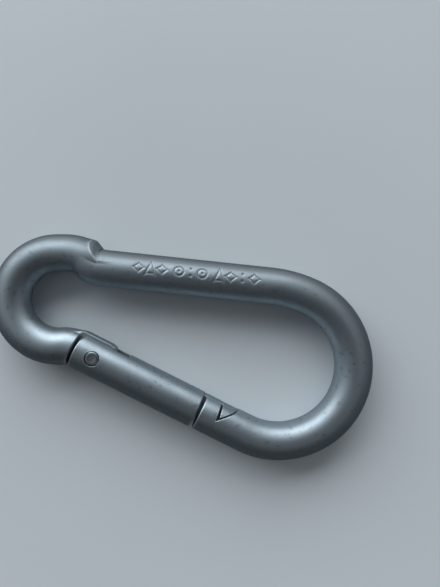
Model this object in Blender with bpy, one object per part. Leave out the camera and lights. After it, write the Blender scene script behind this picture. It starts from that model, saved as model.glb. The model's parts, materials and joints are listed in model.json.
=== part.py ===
"""Snap hook (pear-shaped spring-gate carabiner) bent from round steel wire, as a Blender 4.5 script.

Units are metres, +Z is up and the hook lies flat on its side. +X runs along the straight spine from the
small eye to the large bow, and +Y points from the gate towards the spine. The origin is the centre of the
underside of the hook's bounding box.

Three working frames are used. The hook frame has its origin at the bow's centre, in the wire's mid-plane.
The gate frame has its origin on the hinge axis, with x along the gate towards the nose, y towards the
inside of the hook and z along the rivet. The rod frame is the same, moved so that x is the gate's own axis.
"""

import math

import bmesh
import bpy
from mathutils import Matrix, Vector

# ---------------------------------------------------------------- driving dimensions, metres and degrees
WIRE_D = 0.0077
WIRE_SIDES = 24

BOW_R = 0.0157                        # centreline radius of the large bow
BOW_LEAD_R = 0.026                    # wider arc that leads from the spine into the bow
SPINE_Y = 0.01625                     # height of the straight spine's centreline above the bow's centre
EYE_CENTRE = Vector((-0.0469, 0.0088))
EYE_R = 0.0097                        # centreline radius of the small eye
EYE_TILT = 6.0                        # slope of the short run between the eye and the joggle
EYE_RUN = 0.0014                      # length of that run
JOGGLE_LEAD_R = 0.0095                # wide bend that leads into the joggle
JOGGLE_LEAD_TURN = 20.0
JOGGLE_R = 0.0040                     # centreline radius of the joggle's two tight bends
NECK_R = 0.0050                       # centreline radius of the reverse bend beside the hinge

GATE_SLOPE = -20.5                    # direction of the gate from hinge to nose, against the spine
PIVOT_TO_BOW = 0.0347                 # hinge axis to the point where the gate's line meets the bow arc
HINGE_ASIDE = 0.00045                 # hinge axis to the gate's own axis

HINGE_GAP = 0.0006                    # between the body's shoulder and the end of the gate's ears
TONGUE_T = 0.0026                     # thickness of the body's hinge tongue
TONGUE_INNER = 0.00375                # tongue's inner edge, beside the hinge axis
TONGUE_OUTER = 0.0037
TONGUE_END_R = 0.0038                 # rounded end of the tongue about the hinge axis
TONGUE_CORNER_X = 0.0018              # where the tongue's inner edge starts to fall to the cam
TONGUE_ROOT = 0.0030                  # how far the tongue's root is buried in the wire
CAM_REACH = 0.0037                    # hinge axis to the plunger's face with the gate shut
CAM_ARM = 0.0012                      # lever arm of the plunger, the base radius of the cam's involute
GATE_OPEN = 35.0                      # full opening of the gate
EAR_SLOT = 0.0028                     # width of the slot between the gate's ears
EAR_SLOT_END = 0.0064                 # hinge axis to the bottom of that slot
EAR_CORNER_R = 0.0045                 # sweep of the ears' inner corner about the hinge axis

RIVET_R = 0.0014
RIVET_HOLE_R = 0.00146
RIVET_END = 0.00372                   # half length of the rivet between its domed ends
RIVET_DOME = 0.00012

BORE_R = 0.0021                       # spring bore along the gate
BORE_END = 0.0181
BORE_CONE = 0.0011                    # depth of the drill point past BORE_END
BORE_TIP_R = 0.0001                   # flat at the drill point
PLUNGER_R = 0.0020
PLUNGER_HEAD = 0.0021
PLUNGER_STEM_R = 0.0009
PLUNGER_STEM = 0.0045
PLUNGER_GAP = 0.00005                 # between the plunger's face and the cam
SPRING_R = 0.00150                    # mean radius of the coil
SPRING_WIRE_R = 0.00036
SPRING_CLOSED_PITCH = 0.00084         # pitch of the closed end turns
SPRING_TURNS = 9.0
SPRING_CLOSED = 1.25                  # closed turns at each end
SPRING_GAP = 0.00008                  # at each end of the spring

NOSE_GAP = 0.00065                    # between the gate's end and the nose
NOSE_FACE = 0.0243                    # hinge axis to the nose's end face
LATCH_SLOT = 0.0025                   # width of the slot in the nose, along z
LATCH_SLOT_FLOOR = -0.0009
LATCH_TONGUE_T = 0.0022
LATCH_TONGUE_FLOOR = -0.0005
LATCH_SLOT_PAST_TIP = 0.0012          # how far the slot runs past the notch's tip
LATCH_TONGUE_PAST_TIP = 0.0004        # how far the gate's tongue runs past the head's tip
NOTCH_TIP = Vector((0.02785, 0.0004))          # deepest point of the cross notch in the nose
NOTCH_BACK_X = 0.0276                          # top of the notch's wall beside the lip
NOTCH_FRONT_X = 0.0317                         # top of the notch's slanted wall
HEAD_TIP = Vector((0.02835, 0.00115))          # the same three corners on the gate's latch head
HEAD_BACK_X = 0.02795
HEAD_FRONT_X = 0.0315
HEAD_R = 0.0037                                # round top of the latch head

ROUND_SIDES = 24                      # sides of holes and pins
SMALL_SIDES = 20                      # sides of the plunger and its bore
PIN_EDGE = 0.0002                     # chamfer at the plunger's ends
STEPS_PER_TURN = 16                   # of the spring
SPRING_WIRE_SIDES = 8

# ---------------------------------------------------------------- values worked out from those above
WIRE_R = WIRE_D / 2
CUT_MARGIN = 0.002                    # how far a cutter runs past the face it enters
GATE_DIR = Vector((math.cos(math.radians(GATE_SLOPE)), math.sin(math.radians(GATE_SLOPE))))
INWARD = Vector((-GATE_DIR.y, GATE_DIR.x))
ROD_ORIGIN = -INWARD * BOW_R - GATE_DIR * PIVOT_TO_BOW
PIVOT = ROD_ORIGIN + INWARD * HINGE_ASIDE
EYE_ALONG = (EYE_CENTRE - ROD_ORIGIN).dot(GATE_DIR)
EYE_ASIDE = (EYE_CENTRE - ROD_ORIGIN).dot(INWARD)
NECK_RUN = math.sqrt((NECK_R + EYE_R) ** 2 - (NECK_R + EYE_ASIDE) ** 2)
NECK_TURN = math.degrees(math.acos((NECK_R + EYE_ASIDE) / (NECK_R + EYE_R)))
SHOULDER_X = EYE_ALONG + NECK_RUN     # gate-frame x where the straight line of the gate meets the neck bend
EAR_END_X = SHOULDER_X + HINGE_GAP
GATE_END_X = NOSE_FACE - NOSE_GAP

TILT = math.radians(EYE_TILT)
EYE_TOP_Y = EYE_CENTRE.y + EYE_R * math.cos(TILT) + EYE_RUN * math.sin(TILT)
CREST_Y = EYE_TOP_Y + JOGGLE_LEAD_R * (1 - math.cos(TILT))
LEAD_DIP = math.radians(JOGGLE_LEAD_TURN) - TILT
JOGGLE_DROP = CREST_Y - JOGGLE_LEAD_R * (1 - math.cos(LEAD_DIP)) - SPINE_Y
JOGGLE_TURN = math.degrees(math.acos((1 + math.cos(LEAD_DIP) - JOGGLE_DROP / JOGGLE_R) / 2))
BOW_LEAD_TURN = math.degrees(math.acos(1 - (SPINE_Y - BOW_R) / (BOW_LEAD_R - BOW_R)))

LEFT_X = EYE_CENTRE.x - EYE_R - WIRE_R
RIGHT_X = BOW_R + WIRE_R
TOP_Y = CREST_Y + WIRE_R
BOTTOM_Y = -BOW_R - WIRE_R
BASE_CENTRE = Vector(((LEFT_X + RIGHT_X) / 2, (TOP_Y + BOTTOM_Y) / 2, -WIRE_R))


# ---------------------------------------------------------------- materials
def steel(name, colour, roughness):
    """A metallic Principled material."""
    material = bpy.data.materials.new(name)
    material.use_nodes = True
    shader = material.node_tree.nodes["Principled BSDF"]
    shader.inputs["Base Color"].default_value = (*colour, 1.0)
    shader.inputs["Metallic"].default_value = 1.0
    shader.inputs["Roughness"].default_value = roughness
    return material


# ---------------------------------------------------------------- shapes
def ring_angles(sides):
    """Corner angles of a polygon whose flats face straight along the axes."""
    return [2 * math.pi * (i + 0.5) / sides for i in range(sides)]


def across_flats(radius, sides):
    """Corner radius of a polygon whose flats touch a circle of this radius."""
    return radius / math.cos(math.pi / sides)


def skin_rings(rings):
    """A closed mesh through rings of points, with a flat cap at each end."""
    mesh = bmesh.new()
    loops = [[mesh.verts.new(p) for p in ring] for ring in rings]
    count = len(loops[0])
    for near, far in zip(loops, loops[1:]):
        for i in range(count):
            mesh.faces.new((near[i], near[(i + 1) % count], far[(i + 1) % count], far[i]))
    mesh.faces.new(reversed(loops[0]))
    mesh.faces.new(loops[-1])
    bmesh.ops.recalc_face_normals(mesh, faces=mesh.faces)
    return mesh


def prism(outline, low, high):
    """An outline of (x, y) points extruded along z from low to high."""
    return skin_rings([[(x, y, z) for x, y in outline] for z in (low, high)])


def box(low, high):
    """A block between two corners."""
    (x, y, z), (far_x, far_y, far_z) = low, high
    return prism([(x, y), (far_x, y), (far_x, far_y), (x, far_y)], z, far_z)


def wedge(tip, back_x, front_x):
    """A prism that rises from its tip line through back_x and front_x at the wire's edge, and past it."""
    share = (WIRE_D - tip.y) / (WIRE_R - tip.y)
    top_front = (tip.x + (front_x - tip.x) * share, WIRE_D)
    top_back = (tip.x + (back_x - tip.x) * share, WIRE_D)
    return prism([tip[:], top_front, top_back], -WIRE_D, WIRE_D)


def rivet_hole():
    """A cutter for the rivet's hole, along z."""
    return turned([(-WIRE_D, RIVET_HOLE_R), (WIRE_D, RIVET_HOLE_R)], ROUND_SIDES, "Z")


def turned(profile, sides, axis="X"):
    """A solid of revolution. The profile is (distance along the axis, radius), from end to end."""
    rings = []
    for along, radius in profile:
        corner = across_flats(radius, sides)
        ring = [(along, corner * math.cos(a), corner * math.sin(a)) for a in ring_angles(sides)]
        rings.append(ring if axis == "X" else [(b, c, a) for a, b, c in ring])
    return skin_rings(rings)


def swept(stations, radius, sides):
    """A round bar along a path in the x-y plane. Each station is (point, heading in radians)."""
    corner = across_flats(radius, sides)
    rings = []
    for point, heading in stations:
        side = Vector((-math.sin(heading), math.cos(heading)))
        ring = []
        for a in ring_angles(sides):
            flat = point + side * (corner * math.cos(a))
            ring.append((flat.x, flat.y, corner * math.sin(a)))
        rings.append(ring)
    return skin_rings(rings)


class Path:
    """A plane path of straight runs and arcs, kept as (point, heading) stations."""

    STEP = 8.0  # degrees of turn between stations

    def __init__(self, start, heading):
        self.stations = [(start.copy(), math.radians(heading))]

    def straight(self, length):
        point, heading = self.stations[-1]
        self.stations.append((point + Vector((math.cos(heading), math.sin(heading))) * length, heading))

    def arc(self, radius, turn):
        """Turns left by this many degrees, or right where it is negative."""
        point, heading = self.stations[-1]
        hand = math.copysign(1.0, turn)
        centre = point + Vector((-math.sin(heading), math.cos(heading))) * radius * hand
        steps = max(2, math.ceil(abs(turn) / self.STEP))
        for i in range(1, steps + 1):
            now = heading + math.radians(turn) * i / steps
            self.stations.append((centre + Vector((math.sin(now), -math.cos(now))) * radius * hand, now))

    def straight_to_x(self, x):
        point, heading = self.stations[-1]
        self.straight((x - point.x) / math.cos(heading))


def arc_points(radius, start, end, steps):
    """Points on a circle about the origin, from one angle in degrees to another."""
    angles = [math.radians(start + (end - start) * i / steps) for i in range(steps + 1)]
    return [(radius * math.cos(a), radius * math.sin(a)) for a in angles]


# ---------------------------------------------------------------- objects
def add_object(name, mesh_data, material, parent):
    """Links a bmesh as a named object, smooth where it is round."""
    mesh = bpy.data.meshes.new(name)
    mesh_data.to_mesh(mesh)
    mesh_data.free()
    mesh.shade_smooth()
    mesh.set_sharp_from_angle(angle=math.radians(35))
    if material:
        mesh.materials.append(material)
    obj = bpy.data.objects.new(name, mesh)
    obj.parent = parent
    bpy.context.scene.collection.objects.link(obj)
    return obj


def add_helper(name, mesh_data, parent):
    """A cutter or other operand, kept out of the render."""
    obj = add_object(name, mesh_data, None, parent)
    obj.hide_render = True
    obj.display_type = "WIRE"
    return obj


def add_empty(name, parent, location, turn=0.0):
    empty = bpy.data.objects.new(name, None)
    empty.parent = parent
    empty.location = location
    empty.rotation_euler = (0.0, 0.0, math.radians(turn))
    bpy.context.scene.collection.objects.link(empty)
    return empty


def combine(obj, other, operation):
    modifier = obj.modifiers.new(other.name, "BOOLEAN")
    modifier.operation = operation
    modifier.object = other
    modifier.solver = "EXACT"


# ---------------------------------------------------------------- hook body
def body_path():
    """The wire's centreline from the hinge shoulder round the eye, spine and bow to the nose."""
    path = Path(ROD_ORIGIN + GATE_DIR * SHOULDER_X, 180 + GATE_SLOPE)
    path.arc(NECK_R, NECK_TURN)
    path.arc(EYE_R, -(180 + GATE_SLOPE + NECK_TURN - EYE_TILT))
    path.straight(EYE_RUN)
    path.arc(JOGGLE_LEAD_R, -JOGGLE_LEAD_TURN)
    path.arc(JOGGLE_R, -(JOGGLE_TURN + EYE_TILT - JOGGLE_LEAD_TURN))
    path.arc(JOGGLE_R, JOGGLE_TURN)
    path.straight_to_x(-(BOW_LEAD_R - BOW_R) * math.sin(math.radians(BOW_LEAD_TURN)))
    path.arc(BOW_LEAD_R, -BOW_LEAD_TURN)
    path.arc(BOW_R, -(180 - GATE_SLOPE - BOW_LEAD_TURN))
    path.straight(PIVOT_TO_BOW - NOSE_FACE)
    return path.stations


def cam_points():
    """The involute face that the plunger rides on, as the gate turns from shut to fully open."""
    steps = 8
    points = []
    for i in range(steps + 1):
        turn = math.radians(GATE_OPEN) * i / steps
        reach = CAM_REACH + CAM_ARM * turn
        points.append((
            reach * math.cos(turn) - CAM_ARM * math.sin(turn),
            reach * math.sin(turn) + CAM_ARM * math.cos(turn),
        ))
    return points


def tongue_outline():
    """The hinge tongue in the gate frame, with a tapered root buried in the wire."""
    root_x = SHOULDER_X - TONGUE_ROOT
    root_half = WIRE_R * 0.55
    outline = [(root_x, -root_half), (SHOULDER_X - TONGUE_ROOT * 0.4, -TONGUE_OUTER * 0.9)]
    outline += arc_points(TONGUE_END_R, -100, -10, 8)
    outline += cam_points()
    outline += [(TONGUE_CORNER_X, TONGUE_INNER), (EAR_END_X, TONGUE_INNER), (root_x, root_half)]
    return outline


def build_body(hook_frame, gate_frame, rod_frame, material):
    body = add_object("hook_body", swept(body_path(), WIRE_R, WIRE_SIDES), material, hook_frame)
    tongue = add_helper("tongue_plate", prism(tongue_outline(), -TONGUE_T / 2, TONGUE_T / 2), gate_frame)
    hole = add_helper("tongue_hole", rivet_hole(), gate_frame)
    slot_low = (NOSE_FACE - CUT_MARGIN, LATCH_SLOT_FLOOR, -LATCH_SLOT / 2)
    slot_high = (NOTCH_TIP.x + LATCH_SLOT_PAST_TIP, WIRE_D, LATCH_SLOT / 2)
    latch_slot = add_helper("latch_slot", box(slot_low, slot_high), rod_frame)
    notch = add_helper("latch_notch", wedge(NOTCH_TIP, NOTCH_BACK_X, NOTCH_FRONT_X), rod_frame)
    combine(body, tongue, "UNION")
    combine(body, hole, "DIFFERENCE")
    combine(body, latch_slot, "DIFFERENCE")
    combine(body, notch, "DIFFERENCE")
    return body


# ---------------------------------------------------------------- gate
def ear_corner_outline():
    """What is cut from the ears so that their inner corner clears the shoulder as the gate swings in."""
    low = math.degrees(math.acos(EAR_END_X / EAR_CORNER_R))
    high = 180 - math.degrees(math.asin((WIRE_R - HINGE_ASIDE) / EAR_CORNER_R))
    beyond = SHOULDER_X - CUT_MARGIN
    outline = arc_points(EAR_CORNER_R, low, high - 4, 8)
    outline += [(outline[-1][0], WIRE_D), (beyond, WIRE_D), (beyond, outline[0][1])]
    return outline


def build_gate(gate_frame, rod_frame, material):
    rod = turned([(EAR_END_X, WIRE_R), (GATE_END_X, WIRE_R)], WIRE_SIDES)
    bmesh.ops.translate(rod, vec=(0.0, -HINGE_ASIDE, 0.0), verts=rod.verts)
    gate = add_object("gate", rod, material, gate_frame)

    slot_low = (EAR_END_X - CUT_MARGIN, -WIRE_D, -EAR_SLOT / 2)
    slot_high = (EAR_SLOT_END, WIRE_D, EAR_SLOT / 2)
    ear_slot = add_helper("ear_slot", box(slot_low, slot_high), gate_frame)
    ear_corner = add_helper("ear_corner", prism(ear_corner_outline(), -WIRE_D, WIRE_D), gate_frame)
    bore_profile = [(EAR_END_X - CUT_MARGIN, BORE_R), (BORE_END, BORE_R), (BORE_END + BORE_CONE, BORE_TIP_R)]
    bore = add_helper("spring_bore", turned(bore_profile, SMALL_SIDES), rod_frame)
    holes = add_helper("ear_holes", rivet_hole(), gate_frame)

    tongue_low = (GATE_END_X - CUT_MARGIN, LATCH_TONGUE_FLOOR, -LATCH_TONGUE_T / 2)
    tongue_high = (HEAD_TIP.x + LATCH_TONGUE_PAST_TIP, WIRE_D, LATCH_TONGUE_T / 2)
    latch = add_helper("latch_tongue", box(tongue_low, tongue_high), rod_frame)
    head = add_helper("latch_head", wedge(HEAD_TIP, HEAD_BACK_X, HEAD_FRONT_X), rod_frame)
    round_profile = [(GATE_END_X - 2 * CUT_MARGIN, HEAD_R), (NOTCH_FRONT_X + 2 * CUT_MARGIN, HEAD_R)]
    round_top = add_helper("latch_round", turned(round_profile, WIRE_SIDES), rod_frame)
    combine(latch, head, "UNION")
    combine(latch, round_top, "INTERSECT")

    combine(gate, ear_slot, "DIFFERENCE")
    combine(gate, ear_corner, "DIFFERENCE")
    combine(gate, bore, "DIFFERENCE")
    combine(gate, holes, "DIFFERENCE")
    combine(gate, latch, "UNION")
    return gate


# ---------------------------------------------------------------- hinge rivet, plunger and spring
def build_rivet(gate_frame, material):
    rim = RIVET_END - RIVET_DOME
    profile = [
        (-RIVET_END, RIVET_R * 0.55),
        (-rim, RIVET_R * 0.96),
        (-rim + RIVET_DOME, RIVET_R),
        (rim - RIVET_DOME, RIVET_R),
        (rim, RIVET_R * 0.96),
        (RIVET_END, RIVET_R * 0.55),
    ]
    return add_object("hinge_rivet", turned(profile, ROUND_SIDES, "Z"), material, gate_frame)


def build_plunger(rod_frame, material):
    face = CAM_REACH + PLUNGER_GAP
    shoulder = face + PLUNGER_HEAD
    end = shoulder + PLUNGER_STEM
    profile = [
        (face, PLUNGER_R - PIN_EDGE),
        (face + PIN_EDGE, PLUNGER_R),
        (shoulder, PLUNGER_R),
        (shoulder, PLUNGER_STEM_R),
        (end - PIN_EDGE, PLUNGER_STEM_R),
        (end, PLUNGER_STEM_R - PIN_EDGE),
    ]
    return add_object("spring_plunger", turned(profile, SMALL_SIDES), material, rod_frame)


def spring_stations(start, end):
    """Points along the coil with closed turns at both ends and even turns between, and each one's angle."""
    open_turns = SPRING_TURNS - 2 * SPRING_CLOSED
    closed_rise = SPRING_CLOSED * SPRING_CLOSED_PITCH
    pitch = (end - start - 2 * SPRING_WIRE_R - 2 * closed_rise) / open_turns
    stations = []
    for i in range(int(SPRING_TURNS * STEPS_PER_TURN) + 1):
        turn = i / STEPS_PER_TURN
        opened = min(max(turn - SPRING_CLOSED, 0.0), open_turns)
        along = start + SPRING_WIRE_R + (turn - opened) * SPRING_CLOSED_PITCH + opened * pitch
        stations.append((along, 2 * math.pi * turn))
    return stations


def build_spring(rod_frame, material):
    start = CAM_REACH + PLUNGER_GAP + PLUNGER_HEAD + SPRING_GAP
    end = BORE_END - SPRING_GAP
    rings = []
    for along, angle in spring_stations(start, end):
        out = Vector((0.0, math.cos(angle), math.sin(angle)))
        axis = Vector((1.0, 0.0, 0.0))
        centre = axis * along + out * SPRING_R
        angles = ring_angles(SPRING_WIRE_SIDES)
        rings.append([centre + (out * math.cos(a) + axis * math.sin(a)) * SPRING_WIRE_R for a in angles])
    return add_object("gate_spring", skin_rings(rings), material, rod_frame)


# ---------------------------------------------------------------- assembly
def main():
    for obj in list(bpy.data.objects):
        bpy.data.objects.remove(obj, do_unlink=True)

    zinc = steel("zinc_plated_steel", (0.42, 0.45, 0.46), 0.38)
    rivet_steel = steel("rivet_steel", (0.40, 0.42, 0.43), 0.35)
    spring_steel = steel("spring_steel", (0.30, 0.30, 0.31), 0.30)

    hook_frame = add_empty("hook_frame", None, -BASE_CENTRE)
    gate_frame = add_empty("gate_frame", hook_frame, (PIVOT.x, PIVOT.y, 0.0), GATE_SLOPE)
    rod_frame = add_empty("rod_frame", gate_frame, (0.0, -HINGE_ASIDE, 0.0))

    build_body(hook_frame, gate_frame, rod_frame, zinc)
    build_gate(gate_frame, rod_frame, zinc)
    build_rivet(gate_frame, rivet_steel)
    build_plunger(rod_frame, rivet_steel)
    build_spring(rod_frame, spring_steel)


main()
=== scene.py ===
"""Looks of the pear-shaped snap hook: fine meshes and materials for its steel pieces, on a pale table.

Lengths are metres in the CAD's own frame. The wire pieces are skins over distance fields: a field gives each
point's distance to a shape, negative inside, so that cuts and joins get truly rounded edges, and a quad skin
is laid on its zero surface. Everything is placed from the frame's two joints: the hinge axis, and the way
that the plunger slides along the gate. (u, v) are coordinates from the hinge, along the gate and towards the
inside of the hook, and w is v measured from the rod's own axis instead.
"""

import json
import math

import bmesh
import bpy
import numpy as np
from mathutils import Matrix, Vector


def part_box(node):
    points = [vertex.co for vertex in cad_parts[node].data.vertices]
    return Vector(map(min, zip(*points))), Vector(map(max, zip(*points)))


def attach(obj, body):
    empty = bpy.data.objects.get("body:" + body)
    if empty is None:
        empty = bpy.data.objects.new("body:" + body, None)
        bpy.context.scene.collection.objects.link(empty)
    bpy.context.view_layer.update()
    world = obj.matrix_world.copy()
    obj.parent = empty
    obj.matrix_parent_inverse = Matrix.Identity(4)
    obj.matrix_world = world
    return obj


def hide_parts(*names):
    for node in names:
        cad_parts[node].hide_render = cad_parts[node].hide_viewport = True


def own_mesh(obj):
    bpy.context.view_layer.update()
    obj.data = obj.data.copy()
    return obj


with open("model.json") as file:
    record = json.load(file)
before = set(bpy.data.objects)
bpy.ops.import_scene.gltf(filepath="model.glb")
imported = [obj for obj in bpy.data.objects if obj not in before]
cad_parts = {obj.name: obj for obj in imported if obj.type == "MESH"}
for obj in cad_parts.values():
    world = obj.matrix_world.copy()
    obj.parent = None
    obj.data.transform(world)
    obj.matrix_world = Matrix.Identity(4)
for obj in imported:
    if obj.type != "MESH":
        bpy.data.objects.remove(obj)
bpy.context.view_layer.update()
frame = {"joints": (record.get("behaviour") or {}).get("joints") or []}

MM = 0.001

# ------------------------------------------------------------------ the frame's places
JOINTS = {joint["name"]: joint for joint in frame["joints"]}
HINGE = np.array(JOINTS["gate_hinge"]["pos_m"])
ALONG = np.array(JOINTS["plunger_slide"]["axis"])
ALONG = ALONG / np.linalg.norm(ALONG)
INWARD = np.array([-ALONG[1], ALONG[0], 0.0])
WIRE_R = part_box("gate")[1].z / 2

# ------------------------------------------------------------------ driving dimensions, as in the CAD
BOW_R = 15.7 * MM
BOW_LEAD_R = 26.0 * MM
SPINE_RISE = 16.25 * MM                # bow's centre to the spine's centreline
EYE_AT = np.array([-46.9, 8.8]) * MM   # eye's centre from the bow's centre
EYE_R = 9.7 * MM
EYE_TILT = math.radians(6.0)
EYE_RUN = 1.4 * MM
JOGGLE_LEAD_R = 9.5 * MM
JOGGLE_LEAD_TURN = math.radians(20.0)
JOGGLE_R = 4.0 * MM
NECK_R = 5.0 * MM
PIVOT_TO_BOW = 34.7 * MM
HINGE_ASIDE = 0.45 * MM

HINGE_GAP = 0.6 * MM
TONGUE_T = 2.6 * MM
TONGUE_INNER = 3.75 * MM
TONGUE_END_R = 3.8 * MM
TONGUE_CORNER_U = 1.8 * MM
TONGUE_ROOT = 3.0 * MM                 # how deep the tongue's root is buried in the wire
TONGUE_ROOT_HALF = 0.55 * WIRE_R
TONGUE_OUTER_U = 1.2 * MM              # its outer edge leaves the wire this far behind the wire's end face
TONGUE_OUTER = 0.86 * WIRE_R
TONGUE_SHELF = 0.4 * MM                # its inner edge stops this far short of that face, then slants in
CAM_REACH = 3.7 * MM
CAM_ARM = 1.2 * MM
CAM_STEPS = 12
GATE_OPEN = math.radians(35.0)
EAR_SLOT = 2.8 * MM
EAR_SLOT_END = 6.4 * MM
EAR_CORNER_R = 4.5 * MM

RIVET_R = 1.4 * MM
RIVET_HOLE_R = 1.46 * MM
RIVET_END = 3.72 * MM
RIVET_RIM = 0.16 * MM                  # height of the rounded rim at each end
RIVET_CREST = 0.72 * RIVET_R
RIVET_DISH = 0.10 * MM                 # depth of the dish inside the rim
RIVET_FLAT = 0.45 * RIVET_R
EAR_HOLE_R = 1.5 * MM                  # the ears' holes are worn open towards the nose
EAR_HOLE_ASIDE = 0.09 * MM

BORE_R = 2.1 * MM
BORE_END = 18.1 * MM
BORE_CONE = 1.1 * MM
PLUNGER_R = 2.0 * MM
PLUNGER_HEAD = 2.1 * MM
PLUNGER_STEM_R = 0.9 * MM
PLUNGER_STEM = 4.5 * MM
PLUNGER_GAP = 0.05 * MM
SPRING_R = 1.5 * MM
SPRING_WIRE_R = 0.36 * MM
SPRING_CLOSED_PITCH = 0.84 * MM
SPRING_TURNS = 9.0
SPRING_CLOSED = 1.25
SPRING_GAP = 0.08 * MM

NOSE_GAP = 0.65 * MM
NOSE_FACE = 24.3 * MM
LATCH_SLOT = 2.5 * MM
LATCH_SLOT_FLOOR = -0.9 * MM
LATCH_SLOT_END = 29.05 * MM
LATCH_TONGUE_T = 2.2 * MM
LATCH_TONGUE_FLOOR = -0.5 * MM
LATCH_TONGUE_END = 28.75 * MM
NOTCH = {"tip": (27.85 * MM, 0.4 * MM), "back": 27.6 * MM, "front": 31.7 * MM}
HEAD = {"tip": (28.35 * MM, 1.15 * MM), "back": 27.95 * MM, "front": 31.5 * MM}
HEAD_R = 3.7 * MM

LATCH_ROOT = 1.0 * MM                  # how deep the latch's root is buried in the rod
LATCH_LEAD = 2.0 * MM                  # the slot and the tongue start this far before the faces they cross
MOUTH_HALF = 1.6 * WIRE_R              # half width of the cut that opens the wire along the gate

# ------------------------------------------------------------------ finish of the edges
FACE_EDGE = 0.30 * MM                  # rounding of the sawn ends of the rod and the wire
CUT_EDGE = 0.12 * MM                   # rounding of slots, notches and holes
ROOT_FILLET = 0.5 * MM                 # fillet where the tongue grows out of the wire
BEND_REACH = 0.12 * MM                 # how far round a point its curving is felt
BEND_SPAN = 0.35 * MM                  # radius that counts as a sharp edge

# ------------------------------------------------------------------ a generic row of marks on the spine
MARK_PITCH = 2.35 * MM
MARK_SIZE = 1.35 * MM                  # half height of a mark
MARK_STROKE = 0.24 * MM                # half width of the die's stroke
MARK_DEPTH = 0.085 * MM
MARK_SPAN = 1.2                        # angle each side of the row that holds all of its strokes
MARK_LEAN = math.radians(14.0)         # the row sits this far round the wire from its top
MARK_MIDDLE = -18.7 * MM               # middle of the row, from the bow's centre
MARKS = (
    "lozenge", "wedge", "lozenge", "",
    "target", "dots", "target", "",
    "wedge", "lozenge", "dots", "lozenge",
)
GROUP_GAP = 0.45                       # width of a gap between groups, as a share of a mark's pitch
RING_R = 0.7 * MARK_SIZE
LOZENGE_HALF = 0.5 * MARK_SIZE         # from its middle to the middle of a side
WEDGE_SIDE = (0.94, 0.34)              # the way that its sides look
WEDGE_FOOT = 0.8 * MARK_SIZE
WEDGE_FOOT_HALF = 0.65 * MARK_SIZE
DOT_ASIDE = 0.55 * MARK_SIZE
DOT_R = 0.1 * MM

# ------------------------------------------------------------------ the pressed shoulder beside the eye
SHOULDER_AT = np.array([-39.40, 21.05]) * MM   # middle of its steep face, from the bow's centre
SHOULDER_FACES = math.radians(37.0)    # the way that the face looks
SHOULDER_SLANT = math.radians(25.0)    # the face leans back to the eye above and below the mid-plane
SHOULDER_EDGE = 0.3 * MM
SHOULDER_FILLET = 0.5 * MM
SHOULDER_LEAD_R = 11.0 * MM            # the eye's wire dips a little, then runs straight on through the face
SHOULDER_LEAD_TURN = math.radians(16.0)
SHOULDER_RUN = 6.0 * MM

# ------------------------------------------------------------------ values worked out from those
ROD_ORIGIN = HINGE[:2] - INWARD[:2] * HINGE_ASIDE
BOW_CENTRE = ROD_ORIGIN + ALONG[:2] * PIVOT_TO_BOW + INWARD[:2] * BOW_R
GATE_SLOPE = math.atan2(ALONG[1], ALONG[0])
EYE_CENTRE = BOW_CENTRE + EYE_AT
EYE_ALONG = float((EYE_CENTRE - ROD_ORIGIN) @ ALONG[:2])
EYE_ASIDE = float((EYE_CENTRE - ROD_ORIGIN) @ INWARD[:2])
NECK_RUN = math.sqrt((NECK_R + EYE_R) ** 2 - (NECK_R + EYE_ASIDE) ** 2)
NECK_TURN = math.acos((NECK_R + EYE_ASIDE) / (NECK_R + EYE_R))
NECK_FACE = EYE_ALONG + NECK_RUN       # the wire's end face beside the hinge, along the gate
EAR_END_U = NECK_FACE + HINGE_GAP
GATE_END_U = NOSE_FACE - NOSE_GAP
EYE_TOP = EYE_AT[1] + EYE_R * math.cos(EYE_TILT) + EYE_RUN * math.sin(EYE_TILT)
LEAD_DIP = JOGGLE_LEAD_TURN - EYE_TILT
JOGGLE_DROP = EYE_TOP + JOGGLE_LEAD_R * (math.cos(LEAD_DIP) - math.cos(EYE_TILT)) - SPINE_RISE
JOGGLE_TURN = math.acos((1 + math.cos(LEAD_DIP) - JOGGLE_DROP / JOGGLE_R) / 2)
BOW_LEAD_TURN = math.acos(1 - (SPINE_RISE - BOW_R) / (BOW_LEAD_R - BOW_R))


# ------------------------------------------------------------------ distance fields
def round_cut(a, b, r):
    """What a and b share, with an edge of radius r."""
    edge = np.hypot(np.maximum(a + r, 0), np.maximum(b + r, 0))
    return np.minimum(np.maximum(a, b), -r) + edge


def round_join(a, b, r):
    """a and b together, with a fillet of radius r where they meet."""
    return -round_cut(-a, -b, r)


def slab(value, low, high):
    """Distance to the band between two parallel planes."""
    return np.maximum(low - value, value - high)


def wedge(u, v, tip, back, front):
    """The V between two walls that rise from tip to u = back and u = front at the wire's edge."""
    rise = WIRE_R - tip[1]
    distance = -np.inf
    for top, side in ((back, -1.0), (front, 1.0)):
        normal = np.array([rise, tip[0] - top]) * side
        normal = normal / np.hypot(*normal)
        distance = np.maximum(distance, (u - tip[0]) * normal[0] + (v - tip[1]) * normal[1])
    return distance


def polygon(u, v, outline):
    """Distance to a closed outline in the plane."""
    nearest = np.inf
    inside = np.zeros(np.broadcast(u, v).shape, bool)
    for (au, av), (bu, bv) in zip(outline, outline[1:] + outline[:1]):
        du, dv = bu - au, bv - av
        share = np.clip(((u - au) * du + (v - av) * dv) / (du * du + dv * dv), 0, 1)
        nearest = np.minimum(nearest, np.hypot(u - au - du * share, v - av - dv * share))
        crosses = (av > v) != (bv > v)
        if dv:
            inside ^= crosses & (u < au + (v - av) * du / dv)
    return np.where(inside, -nearest, nearest)


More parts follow.
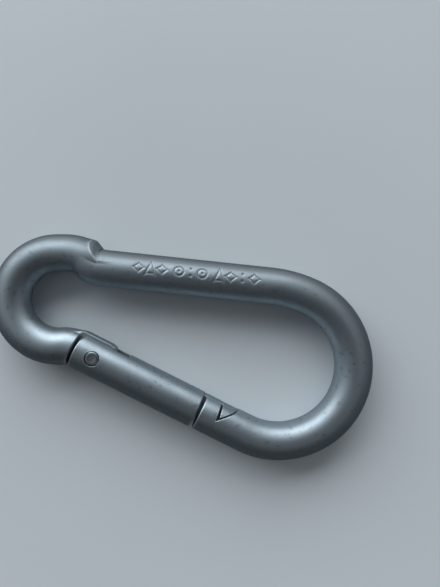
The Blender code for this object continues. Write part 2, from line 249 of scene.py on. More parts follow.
class Centreline:
    """A plane path of straight runs and arcs. It measures the distance to itself and the way along it."""

    def __init__(self, start, heading):
        self.at, self.heading, self.length, self.runs = np.array(start), heading, 0.0, []

    def straight(self, length):
        """Adds a straight run."""
        way = np.array([math.cos(self.heading), math.sin(self.heading)])
        self.runs.append((self.length, "straight", self.at, way, length))
        self.at = self.at + way * length
        self.length += length

    def arc(self, radius, turn):
        """Adds an arc that turns to the left by a positive angle, or to the right by a negative one."""
        hand = math.copysign(1.0, turn)
        side = np.array([-math.sin(self.heading), math.cos(self.heading)]) * hand
        centre = self.at + side * radius
        self.runs.append((self.length, "arc", centre, (radius, self.heading, turn), radius * abs(turn)))
        self.heading += turn
        self.at = centre - np.array([-math.sin(self.heading), math.cos(self.heading)]) * hand * radius
        self.length += radius * abs(turn)

    def measure(self, x, y):
        """(how far it is off the path, positive on its left, and how far along it) for each point."""
        nearest, offset, where = np.inf, 0.0, 0.0
        for begun, kind, place, how, length in self.runs:
            dx, dy = x - place[0], y - place[1]
            if kind == "straight":
                along = np.clip(dx * how[0] + dy * how[1], 0, length)
                distance = np.hypot(dx - how[0] * along, dy - how[1] * along)
                left = dy * how[0] - dx * how[1] > 0
            else:
                radius, heading, turn = how
                hand = math.copysign(1.0, turn)
                middle = heading + turn / 2 - hand * math.pi / 2
                spin = np.arctan2(dy, dx) - middle
                spin = (spin + math.pi) % (2 * math.pi) - math.pi
                spin = np.clip(spin, -abs(turn) / 2, abs(turn) / 2)
                along = radius * (spin * hand + abs(turn) / 2)
                angle = middle + spin
                distance = np.hypot(dx - radius * np.cos(angle), dy - radius * np.sin(angle))
                left = (np.hypot(dx, dy) < radius) == (turn > 0)
            closer = distance < nearest
            where = np.where(closer, begun + along, where)
            offset = np.where(closer, np.where(left, distance, -distance), offset)
            nearest = np.where(closer, distance, nearest)
        return offset, where


def wire_path():
    """The wire's centreline, from the hinge round the eye, spine and bow, and shut along the gate."""
    path = Centreline(ROD_ORIGIN + ALONG[:2] * NECK_FACE, GATE_SLOPE + math.pi)
    path.arc(NECK_R, NECK_TURN)
    path.arc(EYE_R, EYE_TILT - math.pi - GATE_SLOPE - NECK_TURN)
    path.straight(EYE_RUN)
    path.arc(JOGGLE_LEAD_R, -JOGGLE_LEAD_TURN)
    path.arc(JOGGLE_R, JOGGLE_LEAD_TURN - EYE_TILT - JOGGLE_TURN)
    path.arc(JOGGLE_R, JOGGLE_TURN)
    lead_start = BOW_CENTRE[0] - (BOW_LEAD_R - BOW_R) * math.sin(BOW_LEAD_TURN)
    path.straight(lead_start - path.at[0])
    path.arc(BOW_LEAD_R, -BOW_LEAD_TURN)
    path.arc(BOW_R, GATE_SLOPE + BOW_LEAD_TURN - math.pi)
    path.straight(PIVOT_TO_BOW - NECK_FACE)
    return path


PATH = wire_path()


def gate_plane(x, y):
    """(u, v, w) of each point."""
    u = (x - HINGE[0]) * ALONG[0] + (y - HINGE[1]) * ALONG[1]
    v = (x - HINGE[0]) * INWARD[0] + (y - HINGE[1]) * INWARD[1]
    return u, v, v + HINGE_ASIDE


def mark_stroke(kind, s, t):
    """Distance to the stroke of one mark, centred on (s, t) = (0, 0).

    A target is a ring with a dot in it, a lozenge is a square on its corner, a wedge is a triangle, and dots
    are two of them, one each side of the row's middle.
    """
    if kind == "target":
        return np.minimum(np.abs(np.hypot(s, t) - RING_R), np.hypot(s, t))
    if kind == "lozenge":
        return np.abs((np.abs(s) + np.abs(t)) * math.sqrt(0.5) - LOZENGE_HALF)
    if kind == "wedge":
        sides = np.abs(np.abs(s) * WEDGE_SIDE[0] + (t - MARK_SIZE) * WEDGE_SIDE[1])
        foot = np.abs(t + WEDGE_FOOT)
        sides = np.where(t < -MARK_SIZE, np.hypot(sides, t + MARK_SIZE), sides)
        return np.minimum(sides, np.hypot(foot, np.maximum(np.abs(s) - WEDGE_FOOT_HALF, 0)))
    return np.hypot(s, np.abs(t) - DOT_ASIDE) - DOT_R


def stamped(x, y, z):
    """How far the stamped row of marks pushes the spine's surface in."""
    lean = np.arctan2(y - BOW_CENTRE[1] - SPINE_RISE, z) - MARK_LEAN
    t = lean * WIRE_R
    s = x - BOW_CENTRE[0] - MARK_MIDDLE
    widths = [1.0 if kind else GROUP_GAP for kind in MARKS]
    stroke = np.full(np.broadcast(s, t).shape, MARK_PITCH)
    for i, kind in enumerate(MARKS):
        offset = (sum(widths[:i]) + (widths[i] - sum(widths)) / 2) * MARK_PITCH
        if kind:
            stroke = np.minimum(stroke, mark_stroke(kind, s - offset, t))
    groove = MARK_DEPTH * np.exp(-(np.maximum(stroke, 0) / MARK_STROKE) ** 2)
    near = (np.abs(lean) < MARK_SPAN) & (z > 0)
    return np.where(near, groove, 0.0)


def shoulder_path():
    """The end of the eye, carried straight on over the joggle."""
    path = Centreline(EYE_CENTRE + EYE_R * np.array([-math.sin(EYE_TILT), math.cos(EYE_TILT)]), EYE_TILT)
    path.straight(EYE_RUN)
    path.arc(SHOULDER_LEAD_R, -SHOULDER_LEAD_TURN)
    path.straight(SHOULDER_RUN)
    return path


SHOULDER_PATH = shoulder_path()
FACE_AT = BOW_CENTRE + SHOULDER_AT


def add_shoulder(wire, x, y, z):
    """The wire, with the end of the eye standing proud of it as far as the shoulder's face."""
    face = (x - FACE_AT[0]) * math.cos(SHOULDER_FACES) + (y - FACE_AT[1]) * math.sin(SHOULDER_FACES)
    face = face * math.cos(SHOULDER_SLANT) + np.sqrt(z * z + SHOULDER_EDGE**2) * math.sin(SHOULDER_SLANT)
    behind = round_join(wire, face, SHOULDER_FILLET)
    eye_end = round_cut(np.hypot(SHOULDER_PATH.measure(x, y)[0], z) - WIRE_R, behind, SHOULDER_EDGE)
    return np.minimum(wire, eye_end)


def tongue_outline():
    """The hinge tongue: rounded end, involute cam for the plunger, inner corner and a root in the wire."""
    root_u = NECK_FACE - TONGUE_ROOT
    angles = [math.radians(-100 + 10 * i) for i in range(10)]
    outline = [(root_u, -TONGUE_ROOT_HALF), (NECK_FACE - TONGUE_OUTER_U, -TONGUE_OUTER)]
    outline += [(TONGUE_END_R * math.cos(a), TONGUE_END_R * math.sin(a)) for a in angles]
    for i in range(CAM_STEPS + 1):
        turn = GATE_OPEN * i / CAM_STEPS
        reach = CAM_REACH + CAM_ARM * turn
        outline.append((
            reach * math.cos(turn) - CAM_ARM * math.sin(turn),
            reach * math.sin(turn) + CAM_ARM * math.cos(turn),
        ))
    outline += [(TONGUE_CORNER_U, TONGUE_INNER), (NECK_FACE + TONGUE_SHELF, TONGUE_INNER)]
    return outline + [(root_u, TONGUE_ROOT_HALF)]


def body_field(x, y, z):
    """The bent wire with its shoulder, tongue, slotted nose and stamped row."""
    z = z - WIRE_R
    u, v, w = gate_plane(x, y)
    wire = np.hypot(PATH.measure(x, y)[0], z) - WIRE_R + stamped(x, y, z)
    wire = add_shoulder(wire, x, y, z)
    mouth = np.maximum(slab(u, NECK_FACE, NOSE_FACE), np.abs(w) - MOUTH_HALF)
    body = round_cut(wire, -mouth, FACE_EDGE)

    tongue = round_cut(polygon(u, v, tongue_outline()), np.abs(z) - TONGUE_T / 2, CUT_EDGE)
    body = round_join(body, tongue, ROOT_FILLET)
    body = round_cut(body, RIVET_HOLE_R - np.hypot(u, v), CUT_EDGE / 2)

    slot = np.maximum(slab(u, NOSE_FACE - LATCH_LEAD, LATCH_SLOT_END), np.abs(z) - LATCH_SLOT / 2)
    slot = np.maximum(slot, slab(w, LATCH_SLOT_FLOOR, 2 * WIRE_R))
    body = round_cut(body, -slot, CUT_EDGE)
    notch = np.maximum(wedge(u, w, **NOTCH), w - 2 * WIRE_R)
    return round_cut(body, -notch, CUT_EDGE)


def gate_field(x, y, z):
    """The rod that shuts the mouth, with fork ears, spring bore and latch head."""
    z = z - WIRE_R
    u, v, w = gate_plane(x, y)
    rod = round_cut(np.hypot(w, z) - WIRE_R, slab(u, EAR_END_U, GATE_END_U), FACE_EDGE)
    ear_slot = np.maximum(u - EAR_SLOT_END, np.abs(z) - EAR_SLOT / 2)
    corner = np.maximum(np.maximum(EAR_CORNER_R - np.hypot(u, v), u), -v)
    cone = (u - BORE_END - BORE_CONE) * BORE_R + np.hypot(w, z) * BORE_CONE
    bore = np.maximum(np.hypot(w, z) - BORE_R, cone / math.hypot(BORE_R, BORE_CONE))
    rod = round_cut(rod, -ear_slot, CUT_EDGE)
    rod = round_cut(rod, -corner, 2 * CUT_EDGE)
    rod = round_cut(rod, -bore, CUT_EDGE / 2)
    rod = round_cut(rod, EAR_HOLE_R - np.hypot(u - EAR_HOLE_ASIDE, v + EAR_HOLE_ASIDE / 2), CUT_EDGE / 2)

    tongue = np.maximum(slab(u, GATE_END_U - LATCH_LEAD, LATCH_TONGUE_END), LATCH_TONGUE_FLOOR - w)
    tongue = round_cut(tongue, np.abs(z) - LATCH_TONGUE_T / 2, CUT_EDGE)
    latch = round_join(tongue, wedge(u, w, **HEAD), CUT_EDGE)
    latch = round_cut(latch, np.hypot(w, z) - HEAD_R, CUT_EDGE)
    latch = np.maximum(latch, GATE_END_U - LATCH_ROOT - u)
    return round_join(rod, latch, CUT_EDGE)


# ------------------------------------------------------------------ skins over the fields
BODY_STEP = 0.16 * MM                  # width of the grid's cells
BODY_TRIANGLES = 180000                # the most that are kept
GATE_STEP = 0.12 * MM
GATE_TRIANGLES = 90000
RELAX_ROUNDS = 3
RELAX_SHARE = 0.6                      # how far a point goes to the middle of its neighbours in a round
LEAST_STEEPNESS = 0.25                 # squared slope, below which a point's step isn't lengthened


def slope_of(field, points, reach=0.01 * MM):
    """The field's gradient at each point, by central differences."""
    slopes = []
    for axis in range(3):
        shift = np.zeros(3)
        shift[axis] = reach
        ahead, behind = (points + shift).T, (points - shift).T
        slopes.append((field(*ahead) - field(*behind)) / (2 * reach))
    return np.stack(slopes, axis=1)


def settle(field, points, rounds=4):
    """Moves points along the gradient onto the zero surface."""
    for _ in range(rounds):
        slope = slope_of(field, points)
        scale = field(*points.T) / np.maximum((slope**2).sum(axis=1), LEAST_STEEPNESS)
        points = points - slope * scale[:, None]
    return points


def grid_skin(field, low, high, step):
    """A quad mesh over the cells of a grid that the surface crosses, with a point in the middle of each."""
    axes = [np.arange(a - 2 * step, b + 3 * step, step) for a, b in zip(low, high)]
    inside = field(*np.meshgrid(*axes, indexing="ij", sparse=True)) < 0
    corners = np.zeros(np.array(inside.shape) - 1, np.uint8)
    last = np.array(corners.shape)
    for i in range(8):
        a, b, c = (i & 1, i >> 1 & 1, i >> 2)
        corners += inside[a:a + last[0], b:b + last[1], c:c + last[2]]
    crossed = (corners > 0) & (corners < 8)
    number = np.full(crossed.shape, -1, np.int32)
    number[crossed] = np.arange(crossed.sum())
    start = np.array([axis[0] for axis in axes]) + step / 2
    points = start + np.argwhere(crossed) * step

    quads = []
    for axis in range(3):
        near, far = [slice(None)] * 3, [slice(None)] * 3
        near[axis], far[axis] = slice(0, -1), slice(1, None)
        leaving = np.argwhere(inside[tuple(near)] & ~inside[tuple(far)])
        entering = np.argwhere(~inside[tuple(near)] & inside[tuple(far)])
        side, other = np.eye(3, dtype=int)[(axis + 1) % 3], np.eye(3, dtype=int)[(axis + 2) % 3]
        for edges, turn in ((leaving, 1), (entering, -1)):
            ring = [edges - side - other, edges - other, edges, edges - side][::turn]
            quads.append(np.stack([number[tuple(cell.T)] for cell in ring], axis=1))
    return points, np.concatenate(quads)


def relaxed(points, quads):
    """Each point moved to the middle of its neighbours."""
    total, count = np.zeros_like(points), np.zeros(len(points))
    for i in range(4):
        a, b = quads[:, i], quads[:, (i + 1) % 4]
        for here, there in ((a, b), (b, a)):
            for axis in range(3):
                total[:, axis] += np.bincount(here, points[there, axis], len(points))
            count += np.bincount(here, minlength=len(points))
    return total / count[:, None]


def arrays_of(mesh):
    """A mesh's points and triangles."""
    mesh.calc_loop_triangles()
    points = np.empty(len(mesh.vertices) * 3, np.float32)
    mesh.vertices.foreach_get("co", points)
    triangles = np.empty(len(mesh.loop_triangles) * 3, np.int32)
    mesh.loop_triangles.foreach_get("vertices", triangles)
    return points.reshape(-1, 3).astype(float), triangles.reshape(-1, 3)


def add_piece(name, mesh, material):
    """An object in the scene, made from a mesh and one material."""
    obj = bpy.data.objects.new(name, mesh)
    bpy.context.scene.collection.objects.link(obj)
    mesh.materials.append(material)
    return obj


def field_piece(name, field, low, high, step, most_triangles, material):
    """A smooth piece over a field, thinned where it is plain, with the field's own normals."""
    points, quads = grid_skin(field, low, high, step)
    points = settle(field, points)
    for _ in range(RELAX_ROUNDS):
        points = settle(field, points * (1 - RELAX_SHARE) + relaxed(points, quads) * RELAX_SHARE, 2)
    draft = bpy.data.meshes.new(name)
    draft.from_pydata(points.tolist(), [], quads.tolist())
    obj = add_piece(name, draft, material)
    thin = obj.modifiers.new("thin", "DECIMATE")
    thin.ratio = min(1.0, most_triangles / (2 * len(quads)))
    evaluated = obj.evaluated_get(bpy.context.evaluated_depsgraph_get())
    points, triangles = arrays_of(evaluated.to_mesh())
    obj.modifiers.remove(thin)

    points = settle(field, points)
    mesh = bpy.data.meshes.new(name)
    mesh.from_pydata(points.tolist(), [], triangles.tolist())
    mesh.shade_smooth()
    normals = slope_of(field, points)
    normals /= np.linalg.norm(normals, axis=1, keepdims=True)
    mesh.normals_split_custom_set_from_vertices(normals.tolist())
    store_attributes(mesh, field, points)
    mesh.materials.append(material)
    obj.data = mesh
    bpy.data.meshes.remove(draft)
    return obj


def store_attributes(mesh, field, points):
    """Stores on each point what the materials read: flow, outside and bend.

    flow is the way along and round the wire. outside runs from -1 on the side towards the inside of the hook
    to 1 on its outer side. bend is 0 on the round wire, rises to 1 on a sharp outer edge and falls to -1 in
    an inner corner.
    """
    offset, along = PATH.measure(points[:, 0], points[:, 1])
    round_it = np.arctan2(points[:, 2] - WIRE_R, offset) * WIRE_R
    flow = mesh.attributes.new("flow", "FLOAT_VECTOR", "POINT")
    flow.data.foreach_set("vector", np.stack([along, round_it, np.zeros_like(along)], axis=1).ravel())
    mesh.attributes.new("outside", "FLOAT", "POINT").data.foreach_set("value", offset / WIRE_R)

    curvature = -6 * field(*points.T)
    for shift in np.eye(3) * BEND_REACH:
        curvature += field(*(points + shift).T) + field(*(points - shift).T)
    curvature /= BEND_REACH**2
    bend = np.clip((curvature - 1 / WIRE_R) * BEND_SPAN, -1, 1)
    mesh.attributes.new("bend", "FLOAT", "POINT").data.foreach_set("value", bend)


# ------------------------------------------------------------------ turned and coiled pieces
TIP_R = 0.05 * MM                      # radius at which a turned face is closed by a fan
SHARP_ANGLE = math.radians(40)         # edges that bend more than this stay sharp
RIVET_EASE = 0.25 * MM                 # how far from a corner its curve starts
RIVET_SIDES = 96
PLUNGER_EASE = 0.2 * MM
PLUNGER_SIDES = 64
SPRING_PER_TURN = 40                   # rings of points in one turn of the coil
SPRING_SIDES = 16


def gate_matrix(shift=0.0):
    """Places a piece made along x, from the hinge axis: x along the gate, z along the rivet."""
    turn = Matrix.Rotation(GATE_SLOPE, 4, "Z")
    return Matrix.Translation((*(HINGE[:2] + INWARD[:2] * shift), WIRE_R)) @ turn


def skin_rings(rings):
    """A closed quad mesh through rings of points, with a fan at each end."""
    mesh = bmesh.new()
    loops = [[mesh.verts.new(p) for p in ring] for ring in rings]
    count = len(loops[0])
    for near, far in zip(loops, loops[1:]):
        for i in range(count):
            mesh.faces.new((near[i], near[(i + 1) % count], far[(i + 1) % count], far[i]))
    for loop in (loops[0], loops[-1]):
        middle = mesh.verts.new(sum((vert.co for vert in loop), Vector()) / count)
        for i in range(count):
            mesh.faces.new((loop[i], loop[(i + 1) % count], middle))
    bmesh.ops.recalc_face_normals(mesh, faces=mesh.faces)
    return mesh


def bmesh_piece(name, shape, matrix, material):
    """A smooth piece made from a bmesh, moved to its place."""
    mesh = bpy.data.meshes.new(name)
    shape.to_mesh(mesh)
    shape.free()
    mesh.transform(matrix)
    mesh.shade_smooth()
    mesh.set_sharp_from_angle(angle=SHARP_ANGLE)
    return add_piece(name, mesh, material)


def eased(profile, radius, steps=5):
    """A turned profile with each corner between its ends replaced by a small curve."""
    smooth = [profile[0]]
    for before, corner, after in zip(profile, profile[1:], profile[2:]):
        corner, before, after = Vector(corner), Vector(before), Vector(after)
        reach_in = min(radius, (before - corner).length / 2)
        reach_out = min(radius, (after - corner).length / 2)
        start = corner + (before - corner).normalized() * reach_in
        end = corner + (after - corner).normalized() * reach_out
        for i in range(steps + 1):
            t = i / steps
            smooth.append(tuple(start * (1 - t) ** 2 + corner * 2 * t * (1 - t) + end * t**2))
    smooth.append(profile[-1])
    return smooth


def turned(profile, sides, axis):
    """A solid of revolution about X or Z, from (along, radius) points."""
    angles = [2 * math.pi * i / sides for i in range(sides)]
    circle = [(math.cos(a), math.sin(a)) for a in angles]
    rings = []
    for along, radius in profile:
        if axis == "X":
            rings.append([(along, radius * a, radius * b) for a, b in circle])
        else:
            rings.append([(radius * a, radius * b, along) for a, b in circle])
    return skin_rings(rings)


def rivet_shape():
    """A pin whose ends are peened: a flat spun dish inside a rounded rim."""
    rim, floor = RIVET_END - RIVET_RIM, RIVET_END - RIVET_DISH
    end = [(rim, RIVET_R), (RIVET_END, RIVET_CREST), (floor, RIVET_FLAT), (floor, TIP_R)]
    profile = [(-along, radius) for along, radius in reversed(end)] + end
    return turned(eased(profile, RIVET_EASE), RIVET_SIDES, "Z")


def plunger_shape():
    """A headed pin. Its flat face rests on the tongue's cam, and its stem is inside the coil."""
    face = CAM_REACH + PLUNGER_GAP
    shoulder = face + PLUNGER_HEAD
    end = shoulder + PLUNGER_STEM
    profile = [(face, TIP_R), (face, PLUNGER_R), (shoulder, PLUNGER_R), (shoulder, PLUNGER_STEM_R)]
    profile += [(end, PLUNGER_STEM_R), (end, TIP_R)]
    return turned(eased(profile, PLUNGER_EASE), PLUNGER_SIDES, "X")


def spring_ends():
    """Where the coil starts and ends along the gate."""
    start = CAM_REACH + PLUNGER_GAP + PLUNGER_HEAD + SPRING_GAP
    return start, BORE_END - SPRING_GAP


def spring_shape():
    """The coil, with closed turns at both ends."""
    start, end = spring_ends()
    open_turns = SPRING_TURNS - 2 * SPRING_CLOSED
    closed_rise = SPRING_CLOSED * SPRING_CLOSED_PITCH
    pitch = (end - start - 2 * SPRING_WIRE_R - 2 * closed_rise) / open_turns
    around = [2 * math.pi * k / SPRING_SIDES for k in range(SPRING_SIDES)]
    rings = []
    for i in range(int(SPRING_TURNS * SPRING_PER_TURN) + 1):
        turn = i / SPRING_PER_TURN
        middle = min(max(turn - SPRING_CLOSED, 0.0), open_turns)
        along = start + SPRING_WIRE_R + (turn - middle) * SPRING_CLOSED_PITCH + middle * pitch
        angle = 2 * math.pi * turn
        out = Vector((0.0, math.cos(angle), math.sin(angle)))
        centre = Vector((along, 0.0, 0.0)) + out * SPRING_R
        rings.append([
            centre + (out * math.cos(a) + Vector((math.sin(a), 0.0, 0.0))) * SPRING_WIRE_R for a in around
        ])
    return skin_rings(rings)


# ------------------------------------------------------------------ materials
RUBBED = (0.56, 0.62, 0.66)            # colour of worn edges
PIT_DIRT_AND_CORNER_SHADE = (0.10, 0.105, 0.11)           # colour of dirt in pits, and of painted shade in inner corners
OUTER_SIDE_SHADE = (0.20, 0.225, 0.243)         # painted shade: darker colour for the hook's outer side, which dims its highlight
SPECULAR_TINT = (0.30, 0.33, 0.36, 1)
CLOUD_SCALE = 110.0                    # scales of the noises, in features a metre
PIT_SCALE = 900.0
SPECKLE_SCALE = 1500.0
GRAIN_SCALE = 3200.0
LINE_SCALES = (60.0, 3800.0, 0.0)      # drawing lines are long along the wire and fine round it
GRAIN_BUMP = (0.16, 0.03 * MM)         # strength and height
PIT_BUMP = (0.25, 0.02 * MM)
LINE_BUMP = (0.16, 0.025 * MM)
TABLE_CLOUD_SCALE = 9.0
TABLE_DARK, TABLE_LIGHT = (0.81, 0.86, 0.895), (0.85, 0.90, 0.935)


def new_material(name):
    """(material, its nodes, its links, its shader)."""
    material = bpy.data.materials.new(name)
    material.use_nodes = True
    nodes, links = material.node_tree.nodes, material.node_tree.links
    return material, nodes, links, nodes["Principled BSDF"]


def noise(nodes, links, vector, scale, detail=4.0, roughness=0.5, stretch=None):
    """A noise texture's value, on a coordinate that may be stretched."""
    texture = nodes.new("ShaderNodeTexNoise")
    texture.inputs["Scale"].default_value = scale
    texture.inputs["Detail"].default_value = detail
    texture.inputs["Roughness"].default_value = roughness
    if stretch:
        mapping = nodes.new("ShaderNodeMapping")
        mapping.inputs["Scale"].default_value = stretch
        links.new(vector, mapping.inputs["Vector"])
        vector = mapping.outputs["Vector"]
    links.new(vector, texture.inputs["Vector"])
    return texture.outputs["Fac"]


def remap(nodes, links, value, low, high, to_low, to_high):
    """The value moved from the range low..high to the range to_low..to_high, and held inside it."""
    node = nodes.new("ShaderNodeMapRange")
    for name, number in (("From Min", low), ("From Max", high), ("To Min", to_low), ("To Max", to_high)):
        node.inputs[name].default_value = number
    links.new(value, node.inputs["Value"])
    return node.outputs["Result"]


def tint(nodes, links, value, dark, light):
    """A colour between dark and light, by a noise value."""
    ramp = nodes.new("ShaderNodeValToRGB")
    ramp.color_ramp.elements[0].position, ramp.color_ramp.elements[1].position = 0.3, 0.7
    ramp.color_ramp.elements[0].color = (*dark, 1)
    ramp.color_ramp.elements[1].color = (*light, 1)
    links.new(value, ramp.inputs["Fac"])
    return ramp.outputs["Color"]


def bump(nodes, links, height, strength, distance, under=None):
    """A normal bent by a height, on top of the bump under it."""
    node = nodes.new("ShaderNodeBump")
    node.inputs["Strength"].default_value = strength
    node.inputs["Distance"].default_value = distance
    links.new(height, node.inputs["Height"])
    if under:
        links.new(under, node.inputs["Normal"])
    return node.outputs["Normal"]


def blend(nodes, links, factor, a, b):
    """A colour or a number between a and b. Each is a socket or a constant."""
    node = nodes.new("ShaderNodeMix")
    colour = isinstance(a, tuple) or getattr(a, "type", "VALUE") == "RGBA"
    node.data_type = "RGBA" if colour else "FLOAT"
    for name, value in (("Factor", factor), ("A", a), ("B", b)):
        kind = "VALUE" if name == "Factor" or not colour else "RGBA"
        socket = next(i for i in node.inputs if i.name == name and i.type == kind)
        if isinstance(value, bpy.types.NodeSocket):
            links.new(value, socket)
        else:
            socket.default_value = (*value, 1) if colour and name != "Factor" else value
    return next(o for o in node.outputs if o.type == ("RGBA" if colour else "VALUE"))


def attribute(nodes, name, output):
    """A value stored on the mesh's points."""
    node = nodes.new("ShaderNodeAttribute")
    node.attribute_name = name
    return node.outputs[output]


def zinc(name, dark, light, roughness, stored=False):
    """Zinc plating: cloudy and finely pitted.

    A piece with stored attributes also has painted shade on the hook's outer side, which is darker and a
    little rougher, rubbed bright edges, painted shade in its inner corners, and fine lines drawn along the
    wire.
    """
    material, nodes, links, shader = new_material(name)
    place = nodes.new("ShaderNodeTexCoord").outputs["Object"]
    clouds = noise(nodes, links, place, CLOUD_SCALE, 6.0, 0.65)
    speckle = noise(nodes, links, place, SPECKLE_SCALE, 2.0, 0.7)
    grain = noise(nodes, links, place, GRAIN_SCALE, 3.0, 0.6)
    pits = remap(nodes, links, noise(nodes, links, place, PIT_SCALE, 2.0, 0.5), 0.60, 0.70, 0.0, 1.0)
    colour = tint(nodes, links, clouds, dark, light)
    colour = blend(nodes, links, remap(nodes, links, speckle, 0.3, 0.7, 0.0, 0.35), colour, light)
    colour = blend(nodes, links, remap(nodes, links, pits, 0.0, 1.0, 0.0, 0.3), colour, PIT_DIRT_AND_CORNER_SHADE)
    gloss = remap(nodes, links, clouds, 0.3, 0.7, roughness + 0.06, roughness - 0.05)
    if stored:
        bend = attribute(nodes, "bend", "Fac")
        rubbed = remap(nodes, links, bend, 0.15, 0.8, 0.0, 0.35)
        # painted shade: inner corners, where the surface bends inwards, are darkened towards a near-black and
        # made rougher
        corner_shade = remap(nodes, links, bend, -0.45, -0.95, 0.0, 0.8)
        # painted shade: the hook's outer side gets a darker colour, which dims its highlight, and a little
        # more roughness
        outer_shade = remap(nodes, links, attribute(nodes, "outside", "Fac"), 0.1, 0.65, 0.0, 1.0)
        colour = blend(nodes, links, outer_shade, colour, OUTER_SIDE_SHADE)
        gloss = blend(nodes, links, outer_shade, gloss, roughness + 0.04)
        colour = blend(nodes, links, rubbed, colour, RUBBED)
        colour = blend(nodes, links, corner_shade, colour, PIT_DIRT_AND_CORNER_SHADE)
        gloss = blend(nodes, links, rubbed, gloss, roughness - 0.10)
        gloss = blend(nodes, links, corner_shade, gloss, 0.75)
    normal = bump(nodes, links, grain, *GRAIN_BUMP)
    normal = bump(nodes, links, remap(nodes, links, pits, 0.0, 1.0, 1.0, 0.0), *PIT_BUMP, normal)
    if stored:
        flow = attribute(nodes, "flow", "Vector")
        lines = noise(nodes, links, flow, 1.0, 3.0, 0.6, LINE_SCALES)
        normal = bump(nodes, links, lines, *LINE_BUMP, normal)
    shader.inputs["Metallic"].default_value = 1.0
    shader.inputs["Specular Tint"].default_value = SPECULAR_TINT
    links.new(colour, shader.inputs["Base Color"])
    links.new(gloss, shader.inputs["Roughness"])
    links.new(normal, shader.inputs["Normal"])
    return material


def matt(name, colour):
    """One dull colour, for the card that only the steel sees."""
    material, _, _, shader = new_material(name)
    shader.inputs["Base Color"].default_value = (*colour, 1)
    shader.inputs["Roughness"].default_value = 1.0
    return material


def table_top(name):
    """Pale, slightly glossy laminate."""
    material, nodes, links, shader = new_material(name)
    place = nodes.new("ShaderNodeTexCoord").outputs["Object"]
    clouds = noise(nodes, links, place, TABLE_CLOUD_SCALE, 4.0, 0.55)
    links.new(tint(nodes, links, clouds, TABLE_DARK, TABLE_LIGHT), shader.inputs["Base Color"])
    shader.inputs["Roughness"].default_value = 0.32
    shader.inputs["Specular IOR Level"].default_value = 0.2
    return material


# ------------------------------------------------------------------ camera and light
SHOT_HEIGHT = 91.7 * MM                # camera above the hook's mid-plane
SHOT_NADIR = BOW_CENTRE + np.array([-13.6, 13.57]) * MM
SHOT_LEAN = math.radians(6.07)         # how far the picture is turned round the hook
FOCAL_SHARE = 440 / 587                # focal length over the picture's long side
TABLE_EDGES = (-1.2, 1.2, -1.2, 1.2)
FLAG_EDGES = (-60 * MM, 60 * MM, -40 * MM, 80 * MM)    # from the point below the lens
FLAG_ABOVE = 3 * MM                    # the dark card hangs this far above the lens
ROOM_COLOUR = (0.92, 0.96, 1.0, 1)
ROOM_DIM, ROOM_LIT, ROOM_SEEN = 0.05, 0.34, 0.5        # away from the window, towards it, and to the camera


def add_camera():
    """Looks straight down at the hook, from about a hand's height."""
    camera = bpy.data.cameras.new("camera")
    camera.sensor_fit = "AUTO"
    camera.sensor_width = 36.0
    camera.lens = FOCAL_SHARE * camera.sensor_width
    camera.clip_start = 1 * MM
    obj = bpy.data.objects.new("camera", camera)
    obj.location = (*SHOT_NADIR, WIRE_R + SHOT_HEIGHT)
    obj.rotation_euler = (0.0, 0.0, SHOT_LEAN)
    bpy.context.scene.collection.objects.link(obj)
    bpy.context.scene.camera = obj


def add_window(bearing, distance, heights, width, power, colour):
    """An upright soft panel, at a compass bearing from the picture's top, positive to the left."""
    light = bpy.data.lights.new("window", "AREA")
    light.shape = "RECTANGLE"
    light.size, light.size_y = width, heights[1] - heights[0]
    light.energy = power
    light.color = colour
    obj = bpy.data.objects.new("window", light)
    angle = math.pi / 2 + SHOT_LEAN + bearing
    away = Vector((math.cos(angle), math.sin(angle), 0.0))
    obj.location = Vector((*SHOT_NADIR, sum(heights) / 2)) + away * distance
    obj.rotation_euler = (-away).to_track_quat("-Z", "Y").to_euler()
    obj.visible_camera = False
    bpy.context.scene.collection.objects.link(obj)


def sheet(name, edges):
    """A mesh of one rectangle at height 0, from its left, right, near and far edges."""
    left, right, near, far = edges
    mesh = bpy.data.meshes.new(name)
    mesh.from_pydata([(left, near, 0), (right, near, 0), (right, far, 0), (left, far, 0)], [], [(0, 1, 2, 3)])
    return mesh


def add_table(material):
    """The flat top that the hook lies on."""
    mesh = sheet("table", TABLE_EDGES)
    add_piece("table", mesh, material)


def add_flag(material):
    """A dark card over the hook that keeps the steel's top dark. It casts no shadow and isn't seen."""
    flag = add_piece("flag", sheet("flag", FLAG_EDGES), material)
    flag.location = (*SHOT_NADIR, WIRE_R + SHOT_HEIGHT + FLAG_ABOVE)
    flag.rotation_euler = (0.0, 0.0, SHOT_LEAN)
    flag.visible_camera = False
    flag.visible_shadow = False


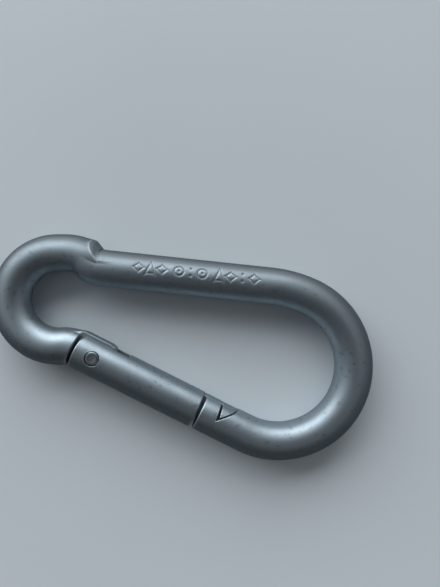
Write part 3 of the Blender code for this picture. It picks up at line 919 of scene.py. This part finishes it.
def add_world():
    """A plain room: light towards the window, dim on the other side, and pale grey to the camera."""
    world = bpy.data.worlds.new("room")
    world.use_nodes = True
    nodes, links = world.node_tree.nodes, world.node_tree.links
    place = nodes.new("ShaderNodeTexCoord").outputs["Generated"]
    facing = nodes.new("ShaderNodeVectorMath")
    facing.operation = "DOT_PRODUCT"
    facing.inputs[1].default_value = (-math.sin(SHOT_LEAN), math.cos(SHOT_LEAN), 0.0)
    links.new(place, facing.inputs[0])
    strength = remap(nodes, links, facing.outputs["Value"], -0.7, 0.4, ROOM_DIM, ROOM_LIT)
    seen = nodes.new("ShaderNodeMix")
    seen.inputs["B"].default_value = ROOM_SEEN
    links.new(nodes.new("ShaderNodeLightPath").outputs["Is Camera Ray"], seen.inputs["Factor"])
    links.new(strength, seen.inputs["A"])
    links.new(seen.outputs["Result"], nodes["Background"].inputs["Strength"])
    nodes["Background"].inputs["Color"].default_value = ROOM_COLOUR
    bpy.context.scene.world = world


# ------------------------------------------------------------------ the object
def build():
    """Each CAD node's finer piece, on the same body."""
    wire_zinc = zinc("zinc_plated_steel", (0.355, 0.415, 0.455), (0.435, 0.50, 0.545), 0.50, stored=True)
    # painted shade: the gate's zinc is a darker copy of the wire's zinc, which dims the gate's highlight
    gate_zinc_painted_shade = zinc("gate_zinc_painted_shade", (0.32, 0.375, 0.41), (0.39, 0.45, 0.49), 0.50, stored=True)
    rivet_zinc = zinc("rivet_steel", (0.34, 0.385, 0.42), (0.41, 0.46, 0.50), 0.38)
    spring_steel = zinc("spring_steel", (0.26, 0.27, 0.29), (0.36, 0.37, 0.38), 0.28)

    low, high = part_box("hook_body")
    body = field_piece("hook_wire", body_field, low, high, BODY_STEP, BODY_TRIANGLES, wire_zinc)
    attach(body, "hook")
    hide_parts("hook_body")

    low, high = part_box("gate")
    gate = field_piece("gate_rod", gate_field, low, high, GATE_STEP, GATE_TRIANGLES, gate_zinc_painted_shade)
    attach(gate, "gate")
    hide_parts("gate")

    rivet = bmesh_piece("rivet", rivet_shape(), gate_matrix(), rivet_zinc)
    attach(rivet, "gate")
    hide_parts("hinge_rivet")

    plunger = bmesh_piece("plunger", plunger_shape(), gate_matrix(-HINGE_ASIDE), rivet_zinc)
    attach(plunger, "plunger")
    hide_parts("spring_plunger")

    spring = bmesh_piece("coil_spring", spring_shape(), gate_matrix(-HINGE_ASIDE), spring_steel)
    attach(spring, "gate")
    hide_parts("gate_spring")
    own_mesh(spring)


add_camera()
build()
add_table(table_top("table_top"))
add_flag(matt("flag_cloth", (0.04, 0.04, 0.042)))
add_window(
    bearing=math.radians(18), distance=3.0, heights=(0.60, 3.3),
    width=6.4, power=166.0, colour=(0.90, 0.96, 1.0),
)
add_world()
bpy.context.scene.view_settings.view_transform = "Standard"
